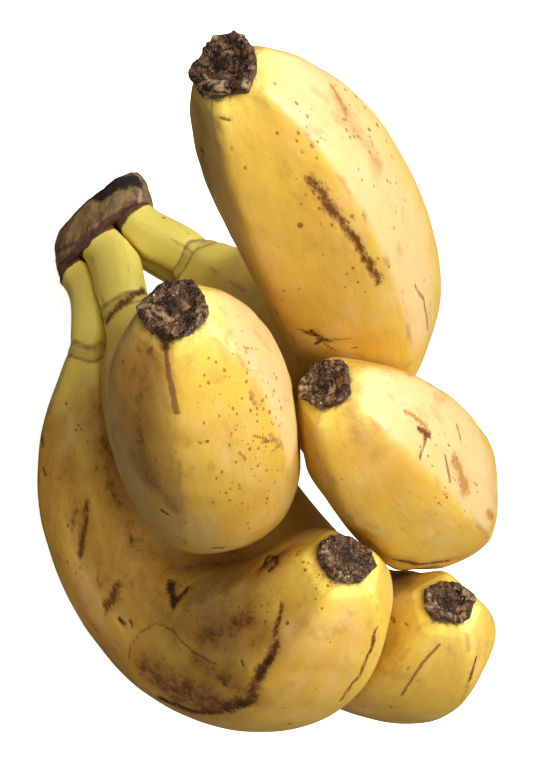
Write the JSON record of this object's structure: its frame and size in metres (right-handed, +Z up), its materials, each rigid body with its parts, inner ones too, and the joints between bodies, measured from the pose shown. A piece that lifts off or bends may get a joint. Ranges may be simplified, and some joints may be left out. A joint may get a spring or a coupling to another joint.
{
  "type": "hand of bananas",
  "caption": "Plump ridged bananas joined by their stalks to one cut crown, resting on the crown and the backs of the outer fruits.",
  "frame": {"origin": "bottom centre of the box round the hand, on the surface that it lies on", "axes": "+Z up from the surface, +X and +Y level"},
  "size_m": [0.1342, 0.1294, 0.1732],
  "materials": {
    "skin": "ripe yellow peel, satin, with brown bruises, specks and dark dried flower scars",
    "crown": "dry corky brown cut tissue, matte"
  },
  "bodies": {
    "root": {"crown": "crown", "banana_a": "skin", "banana_b": "skin", "banana_c": "skin", "banana_d": "skin", "banana_e": "skin"}
  },
  "joints": []
}
